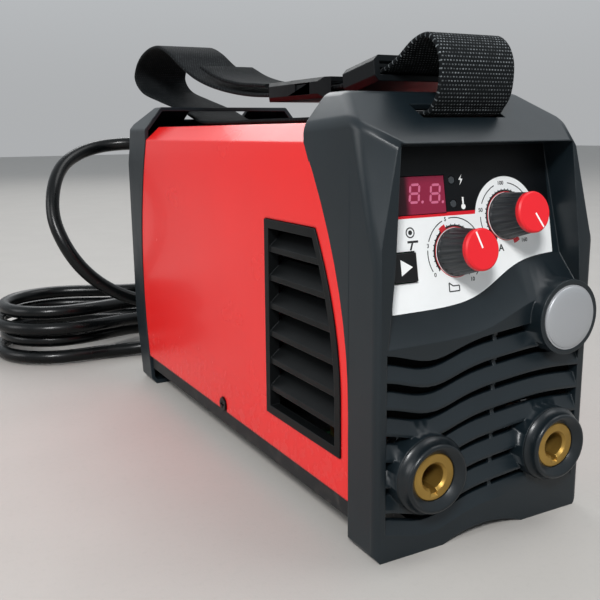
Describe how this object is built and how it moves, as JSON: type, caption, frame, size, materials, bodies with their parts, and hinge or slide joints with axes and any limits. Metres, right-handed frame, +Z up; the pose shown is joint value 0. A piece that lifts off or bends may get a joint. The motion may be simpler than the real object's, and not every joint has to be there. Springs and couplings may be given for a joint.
{
  "type": "stick welding inverter",
  "caption": "Boxy portable arc welding inverter with sheet cover, louvred sides, tilted control panel, output sockets, carrying strap and a tied mains lead.",
  "frame": {"origin": "on the floor, under the middle of the box round the machine and its strap, without the mains lead", "axes": "+Z up, -Y out of the control panel, +X to the right when the panel is faced from the front"},
  "size_m": [0.2548, 0.4613, 0.2263],
  "materials": {
    "bezel_plastic": "satin moulded",
    "red_paint": "gloss",
    "tray_paint": "satin",
    "louvre_plastic": "satin moulded",
    "black_screw": "satin",
    "zinc": "plated",
    "label_print": "printed",
    "display_red": "tinted",
    "digit_plastic": "matt",
    "lamp_plastic": "clear",
    "circuit_board": "lacquered",
    "knob_plastic": "moulded",
    "knob_red": "moulded",
    "shaft_steel": "turned",
    "pot_plastic": "moulded",
    "button_plastic": "moulded",
    "insulator_plastic": "gloss",
    "brass": "turned",
    "badge_silver": "satin",
    "webbing": "woven",
    "buckle_plastic": "moulded",
    "sink_aluminium": "extruded",
    "chip_plastic": "moulded",
    "ferrite": "sintered",
    "copper": "bright",
    "capacitor_blue": "sleeved",
    "fan_plastic": "moulded",
    "switch_plastic": "moulded",
    "rocker_red": "moulded",
    "lead_rubber": "satin",
    "tie_nylon": "moulded",
    "pin_metal": "plated"
  },
  "bodies": {
    "casing": {"front_bezel": "bezel_plastic", "rear_bezel": "bezel_plastic", "cover": "red_paint", "base_tray": "tray_paint", "left_grille": "louvre_plastic", "right_grille": "louvre_plastic", "cover_screws": "black_screw", "rear_screws": "black_screw", "tray_screws": "zinc", "control_label": "label_print", "display_window": "display_red", "digit_module": "digit_plastic", "indicator_lamps": "lamp_plastic", "control_board": "circuit_board", "arc_potentiometer": "pot_plastic", "current_potentiometer": "pot_plastic", "button_switch": "button_plastic", "left_insulator": "insulator_plastic", "right_insulator": "insulator_plastic", "left_socket": "brass", "right_socket": "brass", "clamp_nuts": "zinc", "stud_nuts": "zinc", "badge": "badge_silver", "strap": "webbing", "strap_tail": "webbing", "buckle_socket": "buckle_plastic", "buckle_clip": "buckle_plastic", "strap_slide": "buckle_plastic", "power_board": "circuit_board", "standoffs": "brass", "left_heat_sink": "sink_aluminium", "right_heat_sink": "sink_aluminium", "transistors": "chip_plastic", "rectifier": "chip_plastic", "transformer_core": "ferrite", "transformer_winding": "copper", "output_choke": "copper", "capacitors": "capacitor_blue", "bus_bars": "copper", "fan_frame": "fan_plastic", "switch_body": "switch_plastic", "cable_gland": "switch_plastic", "strain_relief": "lead_rubber", "mains_lead": "lead_rubber", "mains_hank": "lead_rubber", "lead_tail": "lead_rubber", "hank_tie": "tie_nylon", "mains_plug": "lead_rubber", "plug_pins": "pin_metal"},
    "arc_knob_body": {"arc_knob": "knob_plastic", "arc_knob_cap": "knob_red", "arc_shaft": "shaft_steel"},
    "current_knob_body": {"current_knob": "knob_plastic", "current_knob_cap": "knob_red", "current_shaft": "shaft_steel"},
    "mode_button_body": {"mode_button": "button_plastic"},
    "power_rocker_body": {"power_rocker": "rocker_red"},
    "fan_rotor_body": {"fan_rotor": "fan_plastic"}
  },
  "joints": [
    {"name": "arc_knob_turn", "type": "hinge", "parent": "casing", "child": "arc_knob_body", "pos_m": [-0.01, -0.14796, 0.1216], "axis": [0, -0.9829, 0.184], "range_deg": [-170, 130]},
    {"name": "current_knob_turn", "type": "hinge", "parent": "casing", "child": "current_knob_body", "pos_m": [0.0188, -0.14556, 0.1344], "axis": [0, -0.9829, 0.184], "range_deg": [0, 300]},
    {"name": "mode_button_press", "type": "slide", "parent": "casing", "child": "mode_button_body", "axis": [0, 0.9829, -0.184], "range_m": [0, 0.001], "stiffness_N_per_m": 400, "springref_m": -0.001},
    {"name": "power_rocker_tilt", "type": "hinge", "parent": "casing", "child": "power_rocker_body", "pos_m": [0.026, 0.1393, 0.136], "axis": [1, 0, 0], "range_deg": [0, 16]},
    {"name": "fan_spin", "type": "hinge", "parent": "casing", "child": "fan_rotor_body", "pos_m": [0, 0.1247, 0.072], "axis": [0, 1, 0], "continuous": true}
  ]
}
